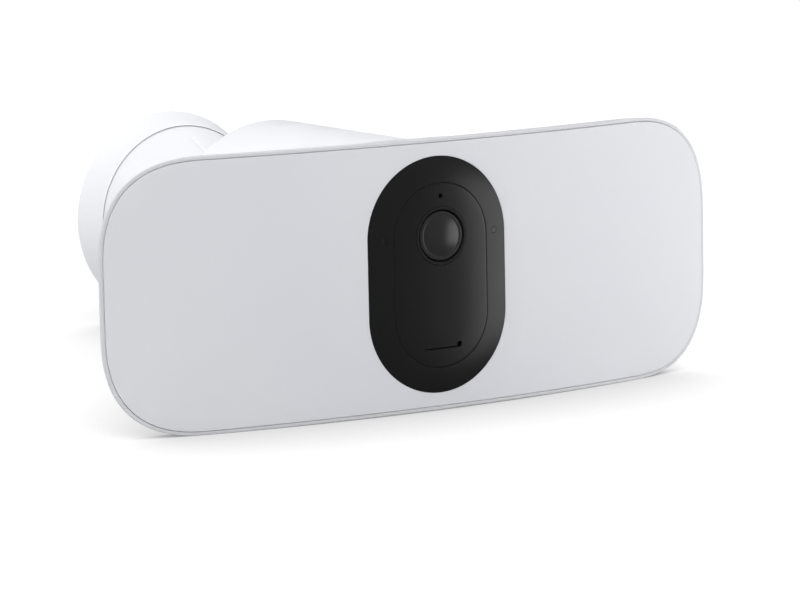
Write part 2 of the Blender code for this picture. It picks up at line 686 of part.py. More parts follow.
def build_ball_joint():
    bore = STEM_RADIUS + GAP
    bore_angle = math.asin(bore / BALL_RADIUS)
    back = math.pi
    ball = arc(BALL_RADIUS, back, bore_angle, 10)
    ball[0] = (0, BALL_Y + BALL_RADIUS)
    ball += [(bore, BALL_Y + 0.0020), (0, BALL_Y + 0.0020)]
    turned("ball", ball, "metal")

    outer = arc(LINER_OUTER, back, LINER_EDGE_ANGLE, 5)
    inner = arc(LINER_INNER, LINER_EDGE_ANGLE, back, 5)
    outer[0] = (0, BALL_Y + LINER_OUTER)
    inner[-1] = (0, BALL_Y + LINER_INNER)
    turned("ball_liner", outer + inner, "black")

    mouth = BALL_Y + 0.0010
    bowl = arc(CAVITY_RADIUS, math.acos(-0.0010 / CAVITY_RADIUS), back, 5)
    bowl[-1] = (0, BALL_Y + CAVITY_RADIUS)
    foot = BASE_FRONT + 0.0010
    profile = [(0, foot), (0.0245, foot), (0.0245, foot - 0.0040)]
    profile += [(0.0170, foot - 0.0070), (0.0170, foot - 0.0210)]
    profile += [(SOCKET_RADIUS, foot - 0.0270), (SOCKET_RADIUS, mouth), *bowl]
    socket = turned("socket_cup", profile, "white")

    lip = arc(CAVITY_RADIUS, COLLAR_LIP_ANGLE, math.pi / 2, 3)
    rim = arc(0.0210, COLLAR_LIP_ANGLE, COLLAR_LIP_ANGLE, 1)[0]
    thread = SOCKET_RADIUS + GAP
    collar_back = CAP_NOSE - 2 * GAP
    profile = [
        (thread, collar_back),
        (COLLAR_RADIUS - 0.0006, collar_back),
        (COLLAR_RADIUS, collar_back - 0.0006),
        (COLLAR_RADIUS, rim[1] + 0.0020),
        (COLLAR_RADIUS - 0.0020, rim[1]),
        rim,
        *lip,
        (CAVITY_RADIUS, BALL_Y + 0.0010 - GAP),
        (thread, BALL_Y + 0.0010 - GAP),
    ]
    turned("locking_collar", profile, "white", ring=True, steps=28)
    return socket


# Wall mount


def build_wall_mount(socket):
    wall_front = BASE_FRONT + 0.0013
    wall_back = wall_front + 0.0024
    taper = (BASE_BACK_RADIUS - BASE_FRONT_RADIUS) / (BASE_BACK - BASE_FRONT)
    inside_front = BASE_FRONT_RADIUS + taper * (wall_back - BASE_FRONT) - BASE_WALL
    profile = [
        (BASE_BACK_RADIUS - BASE_WALL, BASE_BACK),
        (BASE_BACK_RADIUS - 0.0004, BASE_BACK),
        (BASE_BACK_RADIUS, BASE_BACK - 0.0004),
        (BASE_FRONT_RADIUS, BASE_FRONT),
        (CAP_RADIUS + GAP, BASE_FRONT),
        (CAP_RADIUS + GAP, wall_front),
        (0.0120, wall_front),
        (0.0120, wall_back),
        (inside_front, wall_back),
    ]
    base = turned("mount_base", profile, "white", ring=True, steps=48)

    cap_back = wall_front - GAP
    profile = [
        (CAP_RADIUS - 2 * CAP_WALL, cap_back),
        (CAP_RADIUS, cap_back),
        (CAP_RADIUS, BASE_FRONT),
        (CAP_NOSE_RADIUS, CAP_NOSE),
        (SOCKET_RADIUS + 3 * GAP, CAP_NOSE),
        (CAP_RADIUS - 2 * CAP_WALL, BASE_FRONT - 0.0020),
    ]
    cap = turned("mount_cap", profile, "white", ring=True, steps=48)
    slope = math.atan2(CAP_RADIUS - CAP_NOSE_RADIUS, BASE_FRONT - CAP_NOSE)
    middle_y = -0.0330
    middle_z = CAP_NOSE_RADIUS + (middle_y - CAP_NOSE) * math.tan(slope)
    rib = box("cap_rib", (-0.0006, -0.0080, -0.0008), (0.0006, 0.0080, 0.0006), "white")
    rib.rotation_euler.x = slope
    rib.location = (0, middle_y, middle_z)
    combine(cap, as_cutter(rib), "UNION")

    holes = [circle(PLATE_RADIUS, steps=9)]
    for i in range(3):
        turn = math.radians(90 + 120 * i)
        holes.append(circle(0.0024, 0.030 * math.cos(turn), 0.030 * math.sin(turn), steps=3))
    plate("wall_plate", holes, -PANEL_Y - PLATE_THICKNESS, PLATE_THICKNESS, "metal", bent=False)
    gasket = [(0.0438, 0), (0.0438, -0.0014), (PLATE_RADIUS + GAP, -0.0014), (PLATE_RADIUS + GAP, 0)]
    turned("wall_gasket", gasket, "rubber", ring=True, steps=36)

    for i in range(SOCKET_SCREWS):
        turn = math.radians(30 + 360 * i / SOCKET_SCREWS)
        at = (SOCKET_SCREW_CIRCLE * math.cos(turn), SOCKET_SCREW_CIRCLE * math.sin(turn))
        shank, head = 0.0014, 0.0028
        tip = BASE_FRONT - 0.0020
        hole = rod_cutter(f"screw_hole_{i + 1}", shank + GAP, wall_back + 0.002, tip - GAP, at, steps=12)
        combine(base, hole)
        combine(socket, hole)
        under_head = wall_back + GAP
        profile = [(0, under_head + 0.0018), (head, under_head + 0.0018), (head, under_head)]
        profile += [(shank, under_head), (shank, tip), (0, tip)]
        turned(f"socket_screw_{i + 1}", profile, "metal", at, steps=12)

    lock_y = -0.0070
    combine(base, rod_cutter("lock_hole", 0.0022, -0.038, -0.050, (0, lock_y), upright=True, steps=12))
    disc("lock_screw", 0.0019, -0.0405, -0.0444, "metal", (0, lock_y), upright=True, steps=12)


clear_scene()
PARTS = new_collection("floodlight_security_camera")
CUTTERS = new_collection("cutters")
rear_shell()
build_light()
build_camera()
build_core()
build_sync_button()
build_barrel()
build_release()
build_inlet()
socket = build_ball_joint()
build_wall_mount(socket)
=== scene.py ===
"""Looks of the floodlight security camera: fine skins, materials, floor, light and camera round the frame."""

import json
import math

import bmesh
import bpy
from mathutils import Matrix, Vector


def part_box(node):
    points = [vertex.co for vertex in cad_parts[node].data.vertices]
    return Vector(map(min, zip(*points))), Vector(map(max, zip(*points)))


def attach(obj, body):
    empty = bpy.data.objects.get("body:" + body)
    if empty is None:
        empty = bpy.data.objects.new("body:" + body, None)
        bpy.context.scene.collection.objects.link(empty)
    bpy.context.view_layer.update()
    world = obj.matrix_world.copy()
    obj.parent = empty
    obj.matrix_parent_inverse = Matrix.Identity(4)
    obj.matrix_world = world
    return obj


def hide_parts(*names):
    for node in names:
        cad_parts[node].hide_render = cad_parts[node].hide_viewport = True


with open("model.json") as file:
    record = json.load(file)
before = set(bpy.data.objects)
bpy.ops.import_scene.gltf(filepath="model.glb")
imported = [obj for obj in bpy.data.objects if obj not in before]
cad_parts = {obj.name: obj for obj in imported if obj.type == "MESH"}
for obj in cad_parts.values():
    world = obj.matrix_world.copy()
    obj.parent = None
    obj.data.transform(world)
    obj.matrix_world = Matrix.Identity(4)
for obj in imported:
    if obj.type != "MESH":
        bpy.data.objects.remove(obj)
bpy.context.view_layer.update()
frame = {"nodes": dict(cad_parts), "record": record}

MM = 0.001

# Places read from the frame
_low, _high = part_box("light_diffuser")
PANEL_Y = _low.y
PANEL_Z = (_low.z + _high.z) / 2
_low, _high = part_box("rear_shell")
PANEL_HALF_WIDTH = _high.x
PANEL_HALF_HEIGHT = (_high.z - _low.z) / 2
NECK_Y = _high.y
_low, _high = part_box("barrel_housing")
BARREL_RADIUS = _high.x
BARREL_FRONT = _low.y
BOSS_BACK = _high.y
FASCIA_HALF_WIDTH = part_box("camera_fascia")[1].x
FASCIA_HALF_HEIGHT = (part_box("camera_fascia")[1].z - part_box("camera_fascia")[0].z) / 2
LENS_Z = (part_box("lens_ring")[1].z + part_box("lens_ring")[0].z) / 2
HOLE_Z = (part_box("light_sensor_window")[1].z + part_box("light_sensor_window")[0].z) / 2
SLOT_Z = (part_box("motion_window")[1].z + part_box("motion_window")[0].z) / 2
SLOT_HALF_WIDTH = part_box("motion_window")[1].x
INFRARED_X = (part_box("infrared_window_right")[1].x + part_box("infrared_window_right")[0].x) / 2
RELEASE_Y = (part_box("release_button")[1].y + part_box("release_button")[0].y) / 2
SYNC_X = (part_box("sync_button")[1].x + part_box("sync_button")[0].x) / 2
SYNC_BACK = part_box("sync_button")[1].y
_low, _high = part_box("mount_base")
BASE_BACK, BASE_FRONT, BASE_RADIUS = _high.y, _low.y, _high.x
_low, _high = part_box("mount_cap")
CAP_BACK, CAP_NOSE, CAP_RADIUS = _high.y, _low.y, _high.x
_low, _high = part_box("locking_collar")
COLLAR_BACK, COLLAR_FRONT, COLLAR_RADIUS = _high.y, _low.y, _high.x

# Shape of the panel, as the CAD builds it
GAP = 0.3 * MM
SHELL_WALL = 1.4 * MM
SIDE_WALL = 1.6 * MM
SHOULDER_DEPTH = 7.5 * MM
SHELL_HOLLOW = 1.3 * MM
CORNER_RADIUS = 43.8 * MM
CORNER_EXPONENT = 2.5946
BOW_RADIUS = 622.8 * MM
FACE_SHARE = 0.677
BULGE = 3 * MM
BARREL_BACK = BOSS_BACK - 4.2 * MM
BARREL_WALL = 2.4 * MM
AROUND = 160
SHARP_ANGLE = 40
CAD_SHARP_ANGLE = 30

# Openings in the camera face
LENS_HOLE_RADIUS = 12.15 * MM
SENSOR_HOLE_RADIUS = 0.95 * MM
INFRARED_HOLE_RADIUS = 1.44 * MM
SLOT_HOLE_RADIUS = 1.2 * MM
SLIT_HALF_HEIGHT = 0.26 * MM
FACE_SEAM_HALF_WIDTH = 0.07 * MM
FACE_HOLE_GAP = 0.04 * MM

# Ball joint
SOCKET_RADIUS = 18.6 * MM
SOCKET_LIP_DEPTH = 8.3 * MM


# Shapes


def bow(x):
    """How far the bowed panel lies behind its middle, this far to the side."""
    return x * x / (2 * BOW_RADIUS)


def spread_outline(half_width, half_height, radius, exponent, centre_z=0.0, quarter_steps=AROUND // 4):
    """Points round a superelliptic rectangle, spread along its straights and closer on its corners."""
    fine_steps = 96
    turn_weight = 0.075
    corner = []
    for step in range(fine_steps + 1):
        turn = math.pi / 2 * step / fine_steps
        across = half_width - radius + radius * abs(math.cos(turn)) ** (2 / exponent)
        corner.append((across, half_height - radius + radius * math.sin(turn) ** (2 / exponent)))
    path = [(half_width, 0.0), *corner, (0.0, half_height)]
    measure = [0.0]
    for i in range(1, len(path)):
        on_corner = 1 < i < len(path) - 1
        weight = 1 + on_corner * turn_weight / radius
        measure.append(measure[-1] + math.dist(path[i - 1], path[i]) * weight)
    quarter = []
    place = 1
    for step in range(quarter_steps):
        target = measure[-1] * step / quarter_steps
        while measure[place] <= target:
            place += 1
        share = (target - measure[place - 1]) / (measure[place] - measure[place - 1])
        (x0, z0), (x1, z1) = path[place - 1], path[place]
        quarter.append((x0 + (x1 - x0) * share, z0 + (z1 - z0) * share))
    upper = [*quarter, (0.0, half_height), *[(-x, z) for x, z in reversed(quarter)]]
    lower = [(-x, -z) for x, z in upper[1:-1]]
    return [(x, z + centre_z) for x, z in upper + lower]


def eased(profile, easing, closed=True, steps=4):
    """The profile with its corners rounded, by one easing or by one for each corner."""
    count = len(profile)
    easings = easing if isinstance(easing, (list, tuple)) else [easing] * count
    rounded = []
    for i, (x, y) in enumerate(profile):
        if not closed and i in (0, count - 1) or not easings[i]:
            rounded.append((x, y))
            continue
        corner = Vector((x, y))
        back = Vector(profile[i - 1]) - corner
        ahead = Vector(profile[(i + 1) % count]) - corner
        reach = min(easings[i], back.length * 0.45, ahead.length * 0.45)
        start, end = corner + back.normalized() * reach, corner + ahead.normalized() * reach
        for step in range(steps + 1):
            t = step / steps
            point = start * (1 - t) ** 2 + corner * 2 * t * (1 - t) + end * t**2
            rounded.append((point.x, point.y))
    return rounded


def piece_from(bm, name, material, smooth_angle=SHARP_ANGLE):
    """The bmesh as an object, shaded smooth but for its sharp edges."""
    mesh = bpy.data.meshes.new(name)
    bm.to_mesh(mesh)
    bm.free()
    piece = bpy.data.objects.new(name, mesh)
    bpy.context.scene.collection.objects.link(piece)
    if material:
        mesh.materials.append(material)
    mesh.shade_smooth()
    mesh.set_sharp_from_angle(angle=math.radians(smooth_angle))
    return piece


def solid_from(bm, name, material, smooth_angle=SHARP_ANGLE):
    """The same for a closed form, with its faces turned outwards."""
    bmesh.ops.recalc_face_normals(bm, faces=bm.faces)
    return piece_from(bm, name, material, smooth_angle)


def skinned(bm, loops, closed=False):
    """Joins a row of point loops with quads. closed joins the last loop to the first as well."""
    made = [[bm.verts.new(point) for point in loop] for loop in loops]
    pairs = list(zip(made, made[1:]))
    if closed:
        pairs.append((made[-1], made[0]))
    for near, far in pairs:
        for i in range(len(near)):
            j = (i + 1) % len(near)
            bm.faces.new((near[i], near[j], far[j], far[i]))
    return made


def turned(
    name, profile, material, at=(0, 0), upright=False, around=AROUND, ring=True, smooth_angle=SHARP_ANGLE
):
    """A turned piece from (radius, place) points. Its axis runs along Y at (x, z), or along Z at (x, y)."""
    bm = bmesh.new()

    def point(radius, place, angle):
        across, up = at[0] + radius * math.cos(angle), at[1] + radius * math.sin(angle)
        return (across, up, place) if upright else (across, place, up)

    columns = []
    for radius, place in profile:
        if radius < 1e-7:
            columns.append([bm.verts.new(point(0, place, 0))])
        else:
            turns = [2 * math.pi * i / around for i in range(around)]
            columns.append([bm.verts.new(point(radius, place, turn)) for turn in turns])
    pairs = list(zip(columns, columns[1:]))
    if ring:
        pairs.append((columns[-1], columns[0]))
    for near, far in pairs:
        for i in range(around):
            j = (i + 1) % around
            corners = [near[i % len(near)], near[j % len(near)], far[j % len(far)], far[i % len(far)]]
            corners = [vert for k, vert in enumerate(corners) if vert not in corners[:k]]
            if len(corners) > 2:
                bm.faces.new(corners)
    return solid_from(bm, name, material, smooth_angle)


def cut(piece, cutter, operation="DIFFERENCE"):
    """Applies a Boolean and removes its cutter."""
    change = piece.modifiers.new("cut", "BOOLEAN")
    change.operation = operation
    change.object = cutter
    graph = bpy.context.evaluated_depsgraph_get()
    mesh = bpy.data.meshes.new_from_object(piece.evaluated_get(graph))
    piece.modifiers.clear()
    piece.data = mesh
    bpy.data.objects.remove(cutter, do_unlink=True)
    mesh.set_sharp_from_angle(angle=math.radians(SHARP_ANGLE))
    return piece


def rod(radius, start, end, at=(0, 0), upright=False, around=64):
    """A round cutter."""
    profile = [(0, start), (radius, start), (radius, end), (0, end)]
    return turned("cutter", profile, None, at, upright, around, ring=False)


def prism(outline, y_front, y_back, name="cutter", material=None):
    """A straight solid between two depths, with this outline in X and Z."""
    bm = bmesh.new()
    front, back = skinned(bm, [[(x, y, z) for x, z in outline] for y in (y_front, y_back)])
    bm.faces.new(front)
    bm.faces.new(back)
    return solid_from(bm, name, material)


def stadium(half_width, half_height, x=0.0, z=0.0, steps=16):
    """A lying obround: straight above and below, round at its ends."""
    points = []
    reach = half_width - half_height
    for end in (1, -1):
        for step in range(steps + 1):
            turn = math.pi * (step / steps - 0.5) + (0 if end > 0 else math.pi)
            across, up = half_height * math.cos(turn), half_height * math.sin(turn)
            points.append((x + end * reach + across, z + up))
    return points


# Materials


def nodes_for(name, roughness, metallic=0.0):
    """A new material, its node tree and shader, and the object coordinates for its textures."""
    material = bpy.data.materials.new(name)
    material.use_nodes = True
    tree = material.node_tree
    shader = tree.nodes["Principled BSDF"]
    shader.inputs["Roughness"].default_value = roughness
    shader.inputs["Metallic"].default_value = metallic
    where = tree.nodes.new("ShaderNodeTexCoord")
    return material, tree, shader, where.outputs["Object"]


def noise(tree, where, scale, detail=2.0, stretch=(1, 1, 1)):
    mapping = tree.nodes.new("ShaderNodeMapping")
    mapping.inputs["Scale"].default_value = stretch
    texture = tree.nodes.new("ShaderNodeTexNoise")
    texture.inputs["Scale"].default_value = scale
    texture.inputs["Detail"].default_value = detail
    tree.links.new(where, mapping.inputs["Vector"])
    tree.links.new(mapping.outputs["Vector"], texture.inputs["Vector"])
    return texture.outputs["Fac"]


def spread(tree, factor, low, high):
    """Maps a noise's middle range to a range of values."""
    remap = tree.nodes.new("ShaderNodeMapRange")
    remap.inputs["From Min"].default_value = 0.3
    remap.inputs["From Max"].default_value = 0.7
    remap.inputs["To Min"].default_value = low
    remap.inputs["To Max"].default_value = high
    tree.links.new(factor, remap.inputs["Value"])
    return remap.outputs["Result"]


def tinted(tree, factor, dark, light):
    """A colour between dark and light, by the factor."""
    mix = tree.nodes.new("ShaderNodeMix")
    mix.data_type = "RGBA"
    mix.inputs["A"].default_value = (*dark, 1)
    mix.inputs["B"].default_value = (*light, 1)
    tree.links.new(factor, mix.inputs["Factor"])
    return mix.outputs["Result"]


def bumped(tree, shader, height, depth):
    bump = tree.nodes.new("ShaderNodeBump")
    bump.inputs["Strength"].default_value = 1.0
    bump.inputs["Distance"].default_value = depth
    tree.links.new(height, bump.inputs["Height"])
    tree.links.new(bump.outputs["Normal"], shader.inputs["Normal"])


def moulded(name, colour, roughness, grain=2600, depth=0.006 * MM, mottle=0.02, specular=0.5, wander=0.05):
    """Moulded plastic: a fine spark-eroded grain, slight colour blotches and a roughness that wanders."""
    material, tree, shader, where = nodes_for(name, roughness)
    shader.inputs["Specular IOR Level"].default_value = specular
    blotches = noise(tree, where, 24, 3)
    dark = tuple(max(0.0, c * (1 - mottle)) for c in colour)
    light = tuple(min(1.0, c * (1 + mottle)) for c in colour)
    tree.links.new(tinted(tree, spread(tree, blotches, 0, 1), dark, light), shader.inputs["Base Color"])
    texture = noise(tree, where, grain, 3)
    wanders = noise(tree, where, 60, 4)
    tree.links.new(spread(tree, wanders, roughness - wander, roughness + wander), shader.inputs["Roughness"])
    bumped(tree, shader, texture, depth)
    return material


def turned_metal(name, colour, roughness, axis_stretch):
    """Metal with fine tool marks that run round it."""
    material, tree, shader, where = nodes_for(name, roughness, 1.0)
    marks = noise(tree, where, 900, 3, axis_stretch)
    stains = noise(tree, where, 90, 4)
    dark = tuple(c * 0.86 for c in colour)
    tree.links.new(tinted(tree, spread(tree, stains, 0, 1), dark, colour), shader.inputs["Base Color"])
    tree.links.new(spread(tree, marks, roughness - 0.08, roughness + 0.1), shader.inputs["Roughness"])
    bumped(tree, shader, marks, 0.01 * MM)
    return material


def circuit(name, mask, copper):
    """Solder mask over copper tracks, which stand a little proud of it."""
    material, tree, shader, where = nodes_for(name, 0.35)
    tracks = tree.nodes.new("ShaderNodeTexBrick")
    tracks.inputs["Scale"].default_value = 260
    tracks.inputs["Mortar Size"].default_value = 0.035
    tracks.inputs["Mortar Smooth"].default_value = 0.3
    tracks.offset = 0.35
    turn = tree.nodes.new("ShaderNodeMapping")
    turn.inputs["Rotation"].default_value = (math.pi / 2, 0, 0)
    tree.links.new(where, turn.inputs["Vector"])
    tree.links.new(turn.outputs["Vector"], tracks.inputs["Vector"])
    tree.links.new(tinted(tree, tracks.outputs["Fac"], mask, copper), shader.inputs["Base Color"])
    wanders = noise(tree, where, 200, 3)
    tree.links.new(spread(tree, wanders, 0.28, 0.42), shader.inputs["Roughness"])
    bumped(tree, shader, tracks.outputs["Fac"], 0.03 * MM)
    return material


def diffuser_sheet():
    """Satin diffuser: a smooth milky face with a very fine matt grain and slightly deeper soft patches."""
    material, tree, shader, where = nodes_for("diffuser_sheet", 0.42)
    shader.inputs["Subsurface Weight"].default_value = 0.12
    shader.inputs["Subsurface Scale"].default_value = 0.003
    shader.inputs["Subsurface Radius"].default_value = (1.0, 1.0, 1.1)
    patches = noise(tree, where, 9, 2)
    colour = tinted(tree, spread(tree, patches, 0, 1), (0.74, 0.745, 0.79), (0.765, 0.768, 0.805))
    tree.links.new(colour, shader.inputs["Base Color"])
    grain = noise(tree, where, 4200, 2)
    tree.links.new(spread(tree, noise(tree, where, 45, 4), 0.38, 0.46), shader.inputs["Roughness"])
    bumped(tree, shader, grain, 0.003 * MM)
    return material


def lens_glass():
    """Dark satin glass, with the faintest haze."""
    material, tree, shader, where = nodes_for("lens_glass", 0.24)
    haze = noise(tree, where, 320, 5)
    colour = tinted(tree, spread(tree, haze, 0, 1), (0.026, 0.026, 0.027), (0.028, 0.028, 0.029))
    tree.links.new(colour, shader.inputs["Base Color"])
    tree.links.new(spread(tree, haze, 0.23, 0.25), shader.inputs["Roughness"])
    bumped(tree, shader, noise(tree, where, 60, 1), 0.002 * MM)
    return material


WHITE = moulded("white_plastic", (0.81, 0.815, 0.845), 0.42, mottle=0.008)
RIM_WHITE = moulded("panel_plastic", (0.68, 0.685, 0.715), 0.45, mottle=0.008)
DIFFUSER = diffuser_sheet()
FACE_BLACK = moulded("face_plastic", (0.0150, 0.0150, 0.0152), 0.3, 3400, 0.002 * MM, 0.03, 0.42, 0.015)
BEZEL_BLACK = moulded("bezel_plastic", (0.0125, 0.0125, 0.0128), 0.36, 3400, 0.002 * MM, 0.03, 0.35, 0.015)
# Near-black, far darker than the face's plastic: painted shade for the insides of the slot and the sensor's
# hole.
PAINTED_SHADE_BLACK = moulded("painted_shade_black", (0.002, 0.002, 0.002), 0.6, 3400, 0.004 * MM, 0.05, 0.1, 0.03)
GLASS = lens_glass()
WINDOW = moulded("window_plastic", (0.018, 0.017, 0.018), 0.26, 3000, 0.001 * MM, 0.04, 0.45, 0.02)
TRIM_BLACK = moulded("trim_plastic", (0.03, 0.03, 0.031), 0.45, 2200, 0.01 * MM, 0.06)
RUBBER = moulded("seal_rubber", (0.045, 0.045, 0.046), 0.7, 1500, 0.015 * MM, 0.1, 0.3)
SOFT_WHITE = moulded("cover_rubber", (0.78, 0.78, 0.79), 0.6, 1800, 0.01 * MM, 0.02, 0.4)
CLEAR = moulded("prism_sheet", (0.78, 0.80, 0.83), 0.2, 700, 0.05 * MM, 0.02)
STEEL = turned_metal("turned_steel", (0.60, 0.60, 0.62), 0.28, (1, 12, 1))
CONTACT = turned_metal("contact_brass", (0.80, 0.62, 0.32), 0.25, (12, 1, 1))
CIRCUIT = circuit("green_circuit", (0.02, 0.13, 0.06), (0.05, 0.22, 0.10))
LED_MASK = circuit("white_circuit", (0.80, 0.80, 0.80), (0.70, 0.69, 0.66))

SLOT_FINISH = {
    "white_shell": WHITE,
    "diffuser": DIFFUSER,
    "black_face": FACE_BLACK,
    "black_trim": TRIM_BLACK,
    "lens_glass": GLASS,
    "dark_window": WINDOW,
    "clear_sheet": CLEAR,
    "circuit_board": CIRCUIT,
    "led_board": LED_MASK,
    "steel": STEEL,
    "contact": CONTACT,
    "rubber": RUBBER,
    "white_rubber": SOFT_WHITE,
}


def finish_cad_nodes():
    """Gives every CAD node its slot's material. The pieces below then stand for the outer ones."""
    for entry in frame["record"]["subparts"]:
        mesh = frame["nodes"][entry["node"]].data
        mesh.materials.clear()
        mesh.materials.append(SLOT_FINISH[entry["material_slot"]])
        mesh.shade_smooth()
        mesh.set_sharp_from_angle(angle=math.radians(CAD_SHARP_ANGLE))


def settle(piece, body, slot, *replaced):
    """The piece rides on its body and stands for the CAD nodes it replaces. Its slot argument is not used."""
    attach(piece, body)
    if replaced:
        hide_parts(*replaced)


# Head: shell and diffuser


def shell_loop(share, depth, inset=0.0):
    """A loop round the shell. Its outline goes from the panel's at share 0 to the barrel's at share 1."""
    rim = 1 - share
    half_width = BARREL_RADIUS + (PANEL_HALF_WIDTH - BARREL_RADIUS) * rim**0.62
    half_height = BARREL_RADIUS + (PANEL_HALF_HEIGHT - BARREL_RADIUS) * rim
    half_height -= SHELL_HOLLOW * math.sin(math.pi * share)
    radius = min(BARREL_RADIUS * share + CORNER_RADIUS * rim, half_height) - inset
    exponent = 2 + (CORNER_EXPONENT - 2) * rim
    outline = spread_outline(half_width - inset, half_height - inset, radius, exponent, PANEL_Z * rim)
    return [(x, PANEL_Y + depth + rim * bow(x), z) for x, z in outline]


def speaker_slot_cutter(x):
    """A cutter for one of the slots under the shell, long from front to back."""
    half_length, half_width = 3.2 * MM, 0.55 * MM
    y_middle = PANEL_Y + 17.5 * MM
    z_top, z_low = PANEL_Z - 45 * MM, PANEL_Z - 60 * MM
    slot = stadium(half_length, half_width, 0, 0, 8)
    bm = bmesh.new()
    loops = [[(x + along, y_middle + across, z) for across, along in slot] for z in (z_top, z_low)]
    for end in skinned(bm, loops):
        bm.faces.new(end)
    return solid_from(bm, "cutter", None)


def build_shell():
    """The panel's rim and dished back, with the sync button's hole and the speaker's slots."""
    neck_depth = NECK_Y - PANEL_Y
    steps = 22
    back = []
    for step in range(steps + 1):
        share = (step / steps) ** 1.4
        back.append((share, SHOULDER_DEPTH + (neck_depth - SHOULDER_DEPTH) * share**1.2))
    shoulder = [(0, SIDE_WALL - 0.3 * MM), (0.0012, SIDE_WALL)]
    shoulder += [(0.014, SIDE_WALL + 1.4 * MM), (0.034, 5.0 * MM)]
    side = [(0, GAP + depth * MM) for depth in (0.35, 0.7)]
    loops = [shell_loop(share, depth) for share, depth in reversed(side + shoulder + back[3:])]
    lip = [(0.02, 0.15), (0.12, 0.05), (0.35, 0.0), (1.05, 0.0), (1.28, 0.05), (1.38, 0.15), (1.4, 0.35)]
    loops += [shell_loop(0, GAP + depth * MM, inset * MM) for inset, depth in lip]
    inner = [(0, 1.1 * MM), (0.014, 2.5 * MM), (0.06, 6.5 * MM)]
    inner += [(share, depth - 1.2 * MM) for share, depth in back[5:-1:2]]
    inner.append((1, neck_depth))
    loops += [shell_loop(share, depth, SHELL_WALL) for share, depth in inner]
    bm = bmesh.new()
    skinned(bm, loops, closed=True)
    shell = solid_from(bm, "panel_shell", RIM_WHITE)
    sync_hole_radius = 4.3 * MM
    cut(shell, rod(sync_hole_radius, SYNC_BACK - 8 * MM, SYNC_BACK + 10 * MM, (SYNC_X, PANEL_Z)))
    slot_count, slot_pitch = 9, 4.2
    for i in range(slot_count):
        cut(shell, speaker_slot_cutter((i - (slot_count - 1) / 2) * slot_pitch * MM))
    settle(shell, "head", "white_shell", "rear_shell")


def obround_loop(half_width, straight):
    """Points round an upright obround, whose straight sides reach this far up and down."""
    return spread_outline(half_width, straight + half_width, half_width, 2.0)


def build_diffuser():
    """A bowed sheet from the panel's edge to the camera face's hole, with eased edges."""
    thickness = 1.5 * MM
    straight = FASCIA_HALF_HEIGHT - FASCIA_HALF_WIDTH
    inset = SHELL_WALL + 0.17 * MM

    def outer(more):
        size = (PANEL_HALF_WIDTH - inset - more, PANEL_HALF_HEIGHT - inset - more)
        return spread_outline(*size, CORNER_RADIUS - inset - more, CORNER_EXPONENT)

    def inner(more):
        return obround_loop(FASCIA_HALF_WIDTH + FACE_HOLE_GAP + more, straight)

    def loop(outline, depth):
        return [(x, PANEL_Y + depth + bow(x), z + PANEL_Z) for x, z in outline]

    edge = [(0.0, 0.16), (0.02, 0.06), (0.07, 0.01), (0.16, 0.0)]
    loops = [loop(outer(0), thickness)] + [loop(outer(more * MM), depth * MM) for more, depth in edge]
    rings = 14
    first, last = outer(0.16 * MM), inner(0.16 * MM)
    for ring in range(1, rings):
        share = ring / rings
        between = [(a[0] + (b[0] - a[0]) * share, a[1] + (b[1] - a[1]) * share) for a, b in zip(first, last)]
        loops.append(loop(between, 0))
    loops += [loop(inner(more * MM), depth * MM) for more, depth in reversed(edge)]
    loops.append(loop(inner(0), thickness))
    bm = bmesh.new()
    skinned(bm, loops, closed=True)
    settle(solid_from(bm, "panel_diffuser", DIFFUSER), "head", "diffuser", "light_diffuser")


# Head: camera face


def face_loop(share, drop=0.0):
    """A loop of the domed camera face at a share of its half width, sunk by drop."""
    half_width = FASCIA_HALF_WIDTH * share
    straight = FASCIA_HALF_HEIGHT - FASCIA_HALF_WIDTH
    loop = []
    for x, z in obround_loop(half_width, straight):
        slope = max(0.0, (abs(z) - straight) / half_width) ** 2
        height = BULGE * (1 - min(share, 1) ** (3 + slope))
        loop.append((x, PANEL_Y + bow(x) - height + drop, z + PANEL_Z))
    return loop


EASED_EDGE = [(0.0, 0.14), (0.015, 0.06), (0.05, 0.015), (0.11, 0.0)]


def face_ring(name, outer, inner, thickness=2 * MM):
    """Part of the camera face between two shares of its half width, with eased edges. inner may be 0."""
    scale = MM / FASCIA_HALF_WIDTH
    loops = [face_loop(outer, thickness)]
    loops += [face_loop(outer - more * scale, drop * MM) for more, drop in EASED_EDGE]
    low = inner + 0.11 * scale if inner else 0.05
    high = outer - 0.11 * scale
    rings = 18
    loops += [face_loop(high + (low - high) * ring / rings) for ring in range(1, rings)]
    if inner:
        loops += [face_loop(inner + more * scale, drop * MM) for more, drop in reversed(EASED_EDGE)]
        loops.append(face_loop(inner, thickness))
    else:
        loops.append(face_loop(low))
    bm = bmesh.new()
    made = skinned(bm, loops, closed=bool(inner))
    if not inner:
        bm.faces.new(made[-1])
        back = skinned(bm, [face_loop(outer, thickness), face_loop(low, thickness)])
        bm.faces.new(back[-1])
        bmesh.ops.remove_doubles(bm, verts=bm.verts, dist=1e-7)
    return solid_from(bm, name, FACE_BLACK)


def face_drop(x, z):
    """How far the camera face lies behind its middle, at a place on it."""
    straight = FASCIA_HALF_HEIGHT - FASCIA_HALF_WIDTH
    beyond = max(0.0, abs(z - PANEL_Z) - straight)
    reach = math.hypot(x, beyond)
    share = min(1.0, reach / FASCIA_HALF_WIDTH)
    slope = (beyond / reach) ** 2 if reach else 0.0
    return bow(x) + BULGE * share ** (3 + slope)


def follow_face(piece):
    """Bends a piece that was made flat to the camera face's curve."""
    for vert in piece.data.vertices:
        vert.co.y += face_drop(vert.co.x, vert.co.z)
    return piece


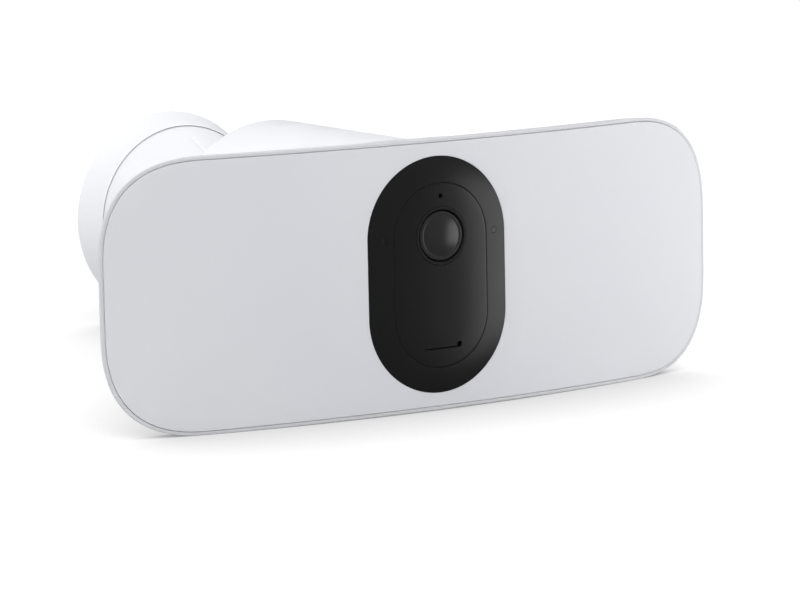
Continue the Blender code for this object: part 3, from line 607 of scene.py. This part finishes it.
def build_camera_face():
    """The domed black face in two parts, its openings, and what shows in each of them."""
    seam = FACE_SEAM_HALF_WIDTH / FASCIA_HALF_WIDTH
    surround = face_ring("face_surround", 1, FACE_SHARE + seam)
    centre = face_ring("face_centre", FACE_SHARE - seam, 0)
    front, back = PANEL_Y - 8 * MM, PANEL_Y + 12 * MM
    hole_x = SLOT_HALF_WIDTH - SLOT_HOLE_RADIUS
    slit_z = SLOT_Z - SLOT_HOLE_RADIUS + 0.28 * MM
    cut(centre, rod(LENS_HOLE_RADIUS, back, front, (0, LENS_Z), around=AROUND))
    cut(centre, rod(SENSOR_HOLE_RADIUS, back, front, (0, HOLE_Z), around=32))
    cut(centre, rod(SLOT_HOLE_RADIUS, back, front, (hole_x, SLOT_Z), around=48))
    half_slit = (hole_x + SLOT_HALF_WIDTH) / 2
    cut(centre, prism(stadium(half_slit, SLIT_HALF_HEIGHT, hole_x - half_slit, slit_z), front, back))
    for side in (-1, 1):
        cut(surround, rod(INFRARED_HOLE_RADIUS, back, front, (side * INFRARED_X, LENS_Z), around=48))
    settle(surround, "head", "black_face", "camera_fascia")
    settle(centre, "head", "black_face", "camera_face_plate")

    # A near-black sheet behind the slit stands for the shade inside the slot: painted shade.
    middle = PANEL_Y - BULGE
    bottom = middle + 1.3 * MM
    outline = stadium(SLOT_HALF_WIDTH, 1.25 * MM, 0, SLOT_Z)
    slot_shade = prism(outline, bottom, bottom + 0.7 * MM, "slot_painted_shade", PAINTED_SHADE_BLACK)
    settle(slot_shade, "head", "dark_window", "motion_window")
    # The sensor's hole is lined with the same near-black: painted shade.
    tube = 0.9 * MM
    pit_back = middle + 2.6 * MM
    profile = [(0, pit_back), (tube, pit_back), (tube, middle + 1.3 * MM), (0, middle + 1.4 * MM)]
    pit = turned("sensor_pit", profile, PAINTED_SHADE_BLACK, (0, HOLE_Z), around=32, ring=False)
    settle(pit, "head", "dark_window", "light_sensor_window")
    radius = 1.36 * MM
    top = middle + 0.03 * MM
    profile = [
        (0, top + 1.6 * MM),
        (radius, top + 1.6 * MM),
        (radius, top + 0.12 * MM),
        (radius - 0.1 * MM, top + 0.02 * MM),
        (radius * 0.5, top),
        (0, top),
    ]
    for side, word in ((-1, "left"), (1, "right")):
        at = (side * INFRARED_X, LENS_Z)
        window = follow_face(turned(f"infrared_lens_{word}", profile, WINDOW, at, around=48, ring=False))
        settle(window, "head", "dark_window", f"infrared_window_{word}")


def build_lens():
    """The bevelled ring, and the glass in it: a low dome inside a narrow step."""
    middle = PANEL_Y - BULGE
    outer, inner = 12.05 * MM, 10.75 * MM
    profile = [
        (outer, middle + 5.0 * MM),
        (outer, middle + 0.02 * MM),
        (inner, middle + 0.06 * MM),
        (inner - 0.35 * MM, middle + 1.6 * MM),
        (inner - 0.4 * MM, middle + 5.0 * MM),
    ]
    easings = [0, 0.14 * MM, 0.16 * MM, 0.3 * MM, 0]
    bezel = turned("lens_bezel", eased(profile, easings), BEZEL_BLACK, (0, LENS_Z))
    settle(follow_face(bezel), "head", "black_face", "lens_ring")

    edge, step_radius = 10.1 * MM, 8.4 * MM
    rim_y = middle + 0.35 * MM
    crown = 1.2 * MM
    sphere = (step_radius**2 + crown**2) / (2 * crown)
    half_turn = math.asin(step_radius / sphere)
    dome = []
    dome_steps = 16
    for step in range(dome_steps + 1):
        turn = half_turn * (1 - step / dome_steps)
        dome.append((sphere * math.sin(turn), rim_y + 0.08 * MM - crown + sphere * (1 - math.cos(turn))))
    dome[-1] = (0, dome[-1][1])
    shoulder = [
        (edge, rim_y + 3 * MM),
        (edge, rim_y + 0.3 * MM),
        (edge - 0.25 * MM, rim_y + 0.03 * MM),
        (step_radius + 0.3 * MM, rim_y),
        (step_radius + 0.1 * MM, rim_y + 0.08 * MM),
    ]
    profile = [(0, rim_y + 3 * MM), *eased(shoulder, 0.1 * MM, closed=False), *dome]
    glass = turned("lens_dome", profile, GLASS, (0, LENS_Z), ring=False, smooth_angle=70)
    settle(glass, "head", "lens_glass", "lens_window")


def build_sync_button():
    """A round button with a dished face, in the panel's back."""
    back = SYNC_BACK
    radius = 3.9 * MM
    profile = [
        (0, back - 0.25 * MM),
        (radius * 0.72, back - 0.1 * MM),
        (radius - 0.35 * MM, back),
        (radius, back - 0.4 * MM),
        (radius, back - 4.4 * MM),
        (0, back - 4.4 * MM),
    ]
    button = turned("sync_key", eased(profile, 0.3 * MM, closed=False), WHITE, (SYNC_X, PANEL_Z), ring=False)
    settle(button, "sync", "white_shell", "sync_button")


# Barrel


def build_barrel():
    """The drum with its rear boss, and the holes underneath for the release button and the inlet."""
    wall_inside = BARREL_RADIUS - BARREL_WALL
    bore = 5.3 * MM
    profile = [
        (bore, BOSS_BACK),
        (12.6 * MM, BOSS_BACK),
        (13.6 * MM, BARREL_BACK + 1.2 * MM),
        (17.0 * MM, BARREL_BACK),
        (BARREL_RADIUS, BARREL_BACK),
        (BARREL_RADIUS, BARREL_FRONT),
        (wall_inside, BARREL_FRONT),
        (wall_inside, BARREL_BACK - 3 * MM),
        (bore, BARREL_BACK - 3 * MM),
    ]
    easings = [easing * MM for easing in (0.3, 0.8, 1.0, 1.6, 1.3, 0.35, 0.35, 1.0, 0.2)]
    drum = turned("barrel_drum", eased(profile, easings, steps=6), WHITE, around=192)
    low = -BARREL_RADIUS - 3 * MM
    cut_height = 12 * MM
    button_hole_radius = 6.7 * MM
    cut(drum, rod(button_hole_radius, low + cut_height, low, (0, RELEASE_Y), upright=True))
    inlet_low, inlet_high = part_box("charge_inlet")
    middle = (inlet_low.y + inlet_high.y) / 2
    inlet_gap = 0.2 * MM
    half_x = (inlet_high.x - inlet_low.x) / 2 + inlet_gap
    half_y = (inlet_high.y - inlet_low.y) / 2 + inlet_gap
    bm = bmesh.new()
    size = Matrix.Diagonal((2 * half_x, 2 * half_y, cut_height, 1))
    bmesh.ops.create_cube(bm, size=1, matrix=Matrix.Translation((0, middle, low + cut_height / 2)) @ size)
    cut(drum, piece_from(bm, "cutter", None))
    settle(drum, "barrel", "white_shell", "barrel_housing")


def build_release_button():
    """A round button with a dished underside, on a flange that stays inside the barrel."""
    low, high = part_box("release_button")
    radius = 6.45 * MM
    flange = 7.9 * MM
    flange_low = high.z - 0.75 * MM
    profile = [
        (0, high.z),
        (flange, high.z),
        (flange, flange_low),
        (radius, flange_low),
        (radius, low.z + 0.02 * MM),
        (radius - 0.9 * MM, low.z + 0.02 * MM),
        (radius * 0.55, low.z + 0.35 * MM),
        (0, low.z + 0.5 * MM),
    ]
    profile = eased(profile, 0.25 * MM, closed=False)
    button = turned("release_key", profile, WHITE, (0, RELEASE_Y), upright=True, around=96, ring=False)
    settle(button, "release", "white_shell", "release_button")


def build_inlet_cover():
    """A soft flap, flat but for a slight crown, with a pull lip at its back."""
    low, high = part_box("inlet_cover")
    bm = bmesh.new()
    columns, rows = 24, 16
    half_x, half_y = (high.x - low.x) / 2, (high.y - low.y) / 2
    middle_y = (high.y + low.y) / 2
    sheets = []
    for top in (True, False):
        sheet = []
        for row in range(rows + 1):
            line = []
            for column in range(columns + 1):
                u, v = 2 * column / columns - 1, 2 * row / rows - 1
                corner = (abs(u) ** 8 + abs(v) ** 8) ** (1 / 8)
                squeeze = min(1.0, 1 / corner) if corner > 1 else 1.0
                x, y = u * squeeze * half_x, middle_y + v * squeeze * half_y
                edge = max(abs(u), abs(v))
                crown = 0.1 * MM * (1 - edge**6)
                lip = 0.12 * MM * math.exp(-(((v - 0.8) / 0.1) ** 2))
                if top:
                    z = high.z - 0.02 * MM
                else:
                    z = low.z + 0.14 * MM + 0.12 * MM * edge**10 - crown * 0.5 - lip * 0.5
                line.append(bm.verts.new((x, y, z)))
            sheet.append(line)
        for a, b in zip(sheet, sheet[1:]):
            for i in range(columns):
                bm.faces.new((a[i], a[i + 1], b[i + 1], b[i]))
        sheets.append(sheet)
    edges = []
    for sheet in sheets:
        border = sheet[0][:] + [line[-1] for line in sheet[1:]]
        border += sheet[-1][-2::-1] + [line[0] for line in sheet[-2:0:-1]]
        edges.append(border)
    for i in range(len(edges[0])):
        j = (i + 1) % len(edges[0])
        bm.faces.new((edges[0][i], edges[0][j], edges[1][j], edges[1][i]))
    settle(solid_from(bm, "port_cover", SOFT_WHITE), "cover", "white_rubber", "inlet_cover")


# Ball joint and wall mount


def build_collar():
    """The locking collar, with grip flutes round it."""
    lip_radius = math.sqrt(max(0.0, SOCKET_RADIUS**2 - SOCKET_LIP_DEPTH**2))
    thread = 21.6 * MM
    inside = 18.65 * MM
    shoulder = COLLAR_BACK - 6.8 * MM
    outer = [
        (thread, COLLAR_BACK),
        (COLLAR_RADIUS, COLLAR_BACK),
        (COLLAR_RADIUS, COLLAR_FRONT + 2.0 * MM),
        (COLLAR_RADIUS - 2.2 * MM, COLLAR_FRONT),
        (lip_radius + 2.2 * MM, COLLAR_FRONT),
    ]
    inner = [(lip_radius, COLLAR_FRONT + 1.1 * MM), (inside, shoulder - 0.2 * MM)]
    inner += [(inside, shoulder), (thread, shoulder)]
    profile = eased(outer + inner, 0.5 * MM)
    collar = turned("clamp_collar", profile, WHITE, around=288)
    flutes, flute_depth = 36, 0.45 * MM
    for vert in collar.data.vertices:
        radius = math.hypot(vert.co.x, vert.co.z)
        if radius < COLLAR_RADIUS - 0.4 * MM:
            continue
        angle = math.atan2(vert.co.z, vert.co.x)
        depth = flute_depth * max(0.0, math.cos(angle * flutes)) ** 2
        vert.co.x *= 1 - depth / radius
        vert.co.z *= 1 - depth / radius
    settle(collar, "collar", "white_shell", "locking_collar")


def build_mount():
    """The drum against the wall, the tapering cap in front of it, and the cap's rib."""
    wall = 2.4 * MM
    seat = CAP_BACK + GAP
    front_radius = 41.9 * MM
    profile = [
        (BASE_RADIUS - wall, BASE_BACK),
        (BASE_RADIUS, BASE_BACK),
        (front_radius, BASE_FRONT),
        (CAP_RADIUS + 0.3 * MM, BASE_FRONT),
        (CAP_RADIUS + 0.3 * MM, seat),
        (12 * MM, seat),
        (12 * MM, seat + wall),
        (40.3 * MM, seat + wall),
    ]
    easings = [0.3 * MM, 0.6 * MM, 0.16 * MM, 0.08 * MM, 0.1 * MM, 0.3 * MM, 0.3 * MM, 0.8 * MM]
    base = turned("drum_base", eased(profile, easings), WHITE, around=192)
    lock_screw_hole, socket_screw_hole = 2.1 * MM, 1.65 * MM
    cut(base, rod(lock_screw_hole, -37 * MM, -50 * MM, (0, -7 * MM), upright=True, around=48))
    for i in range(3):
        low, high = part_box(f"socket_screw_{i + 1}")
        at = ((low.x + high.x) / 2, (low.z + high.z) / 2)
        cut(base, rod(socket_screw_hole, seat + wall + MM, seat - MM, at, around=32))
    settle(base, "wall_mount", "white_shell", "mount_base")

    nose = 24.4 * MM
    profile = [
        (CAP_RADIUS - 4.4 * MM, CAP_BACK),
        (CAP_RADIUS, CAP_BACK),
        (CAP_RADIUS, BASE_FRONT - 0.02 * MM),
        (nose, CAP_NOSE),
        (22.2 * MM, CAP_NOSE),
        (CAP_RADIUS - 4.4 * MM, BASE_FRONT - 2.0 * MM),
    ]
    easings = [0.2 * MM, 0.1 * MM, 0.3 * MM, 0.9 * MM, 0.4 * MM, 0.4 * MM]
    cap = turned("drum_cap", eased(profile, easings), WHITE, around=192)
    settle(cap, "wall_mount", "white_shell", "mount_cap")
    build_rib(nose)


def build_rib(nose):
    """The fine raised rib that runs along the cap's top."""
    slope = (CAP_RADIUS - nose) / (BASE_FRONT - CAP_NOSE)
    start, end = -25.2 * MM, -41.0 * MM
    half_width, height = 0.65 * MM, 0.9 * MM
    steps, across = 24, 8
    bm = bmesh.new()
    loops = []
    for step in range(steps + 1):
        t = step / steps
        y = start + (end - start) * t
        fade = math.sin(math.pi * min(1.0, max(0.02, min(t, 1 - t) * 8)) / 2) ** 0.5
        surface = nose + (y - CAP_NOSE) * slope
        loop = [(-half_width * fade, y, surface - 0.3 * MM)]
        for i in range(across + 1):
            turn = math.pi * (1 - i / across)
            loop.append((half_width * fade * math.cos(turn), y, surface + height * fade * math.sin(turn)))
        loop.append((half_width * fade, y, surface - 0.3 * MM))
        loops.append(loop)
    made = skinned(bm, loops)
    bm.faces.new(made[0])
    bm.faces.new(made[-1])
    settle(solid_from(bm, "cap_rib", WHITE), "wall_mount", "white_shell")


# Stage


def floor_paper():
    """White paper. Camera rays see it glow white, with a painted soft shadow from ambient occlusion near the
    object.

    Other rays see plain grey-white paper, so the light that it throws back doesn't depend on this.
    """
    material = moulded("floor_paper", (0.7, 0.7, 0.7), 0.9, 900, 0.01 * MM, 0.002, 0.0)
    tree = material.node_tree
    painted_shadow_ao = tree.nodes.new("ShaderNodeAmbientOcclusion")
    painted_shadow_ao.samples = 16
    painted_shadow_ao.inputs["Distance"].default_value = 0.1
    shade = tree.nodes.new("ShaderNodeMapRange")
    shade.inputs["From Min"].default_value = 0.1
    shade.inputs["From Max"].default_value = 0.84
    shade.inputs["To Min"].default_value = 0.30
    shade.inputs["To Max"].default_value = 1.05
    shade.clamp = True
    # Painted shadow: the glow that camera rays see dims where ambient occlusion finds the object near.
    white = tree.nodes.new("ShaderNodeEmission")
    rays = tree.nodes.new("ShaderNodeLightPath")
    mix = tree.nodes.new("ShaderNodeMixShader")
    tree.links.new(painted_shadow_ao.outputs["AO"], shade.inputs["Value"])
    tree.links.new(shade.outputs["Result"], white.inputs["Strength"])
    tree.links.new(rays.outputs["Is Camera Ray"], mix.inputs["Fac"])
    tree.links.new(tree.nodes["Principled BSDF"].outputs["BSDF"], mix.inputs[1])
    tree.links.new(white.outputs["Emission"], mix.inputs[2])
    tree.links.new(mix.outputs["Shader"], tree.nodes["Material Output"].inputs["Surface"])
    return material


def build_stage():
    """A pale floor under the panel's lower edge and the wall mount's rim, on which the object stands."""
    panel_foot = (PANEL_Y + 9 * MM, PANEL_Z - PANEL_HALF_HEIGHT)
    mount_foot = (BASE_BACK, -BASE_RADIUS)
    rise = (mount_foot[1] - panel_foot[1]) / (mount_foot[0] - panel_foot[0])
    bm = bmesh.new()
    reach, steps = 6.0, 12
    grid = []
    for row in range(steps + 1):
        y = -reach + 2 * reach * row / steps
        z = panel_foot[1] + (y - panel_foot[0]) * rise - 0.05 * MM
        grid.append([bm.verts.new((-reach + 2 * reach * i / steps, y, z)) for i in range(steps + 1)])
    for a, b in zip(grid, grid[1:]):
        for i in range(steps):
            bm.faces.new((a[i], a[i + 1], b[i + 1], b[i]))
    floor = piece_from(bm, "floor", floor_paper())
    floor.visible_glossy = False


def softbox(name, azimuth, elevation, distance, width, height, power, mirrored=False):
    """A soft area light that faces the object's middle. Azimuth 0 is in front, and 90 is to its right."""
    turn, rise = math.radians(azimuth), math.radians(elevation)
    middle = Vector((0, -0.13, 0))
    away = Vector((math.sin(turn) * math.cos(rise), -math.cos(turn) * math.cos(rise), math.sin(rise)))
    data = bpy.data.lights.new(name, "AREA")
    data.shape = "RECTANGLE"
    data.size, data.size_y = width, height
    data.energy = power
    light = bpy.data.objects.new(name, data)
    light.location = middle + away * distance
    light.rotation_euler = away.to_track_quat("Z", "Y").to_euler()
    light.visible_glossy = mirrored
    bpy.context.scene.collection.objects.link(light)


def build_world():
    """White behind the object. It lights nothing: the softboxes and the floor do."""
    world = bpy.data.worlds.new("studio")
    bpy.context.scene.world = world
    world.use_nodes = True
    backdrop = world.node_tree.nodes["Background"]
    backdrop.inputs["Color"].default_value = (1, 1, 1, 1)
    backdrop.inputs["Strength"].default_value = 1.05
    for ray in ("diffuse", "glossy", "transmission", "scatter"):
        setattr(world.cycles_visibility, ray, False)


def build_camera():
    """The viewpoint: left of the object's front, a little above it, through a long lens."""
    yaw, pitch, roll = math.radians(31.490), math.radians(-8.515), math.radians(-1.212)
    data = bpy.data.cameras.new("camera")
    data.sensor_width = 36
    data.lens = 176.58
    data.clip_end = 50
    camera = bpy.data.objects.new("camera", data)
    turn = Matrix.Rotation(-yaw, 4, "Z") @ Matrix.Rotation(math.pi / 2 + pitch, 4, "X")
    turn = turn @ Matrix.Rotation(roll, 4, "Z")
    camera.matrix_world = Matrix.Translation((-0.8389, -1.5701, 0.2245)) @ turn
    bpy.context.scene.collection.objects.link(camera)
    bpy.context.scene.camera = camera


finish_cad_nodes()
build_shell()
build_diffuser()
build_camera_face()
build_lens()
build_sync_button()
build_barrel()
build_release_button()
build_inlet_cover()
build_collar()
build_mount()
build_stage()
build_world()
softbox("softbox_rear", 180, 45, 2.0, 2.0, 1.2, 28)
softbox("softbox_upper_left", -70, 60, 2.0, 1.4, 1.4, 20)
softbox("softbox_rear_left", -120, 30, 1.8, 1.2, 1.2, 9.5)
softbox("softbox_left", -70, 25, 1.8, 1.2, 1.2, 2.5)
softbox("softbox_front", -20, 35, 2.0, 1.2, 1.0, 13)
softbox("softbox_fore_right", 35, 25, 1.8, 1.0, 1.0, 3)
softbox("softbox_right", 63, 12, 1.6, 1.0, 1.2, 5.5)
softbox("softbox_side", 80, 10, 1.6, 1.0, 1.2, 13)
softbox("reflector", 58, -4.5, 1.6, 1.08, 0.71, 4.4, mirrored=True)
build_camera()
bpy.context.scene.view_settings.view_transform = "Standard"
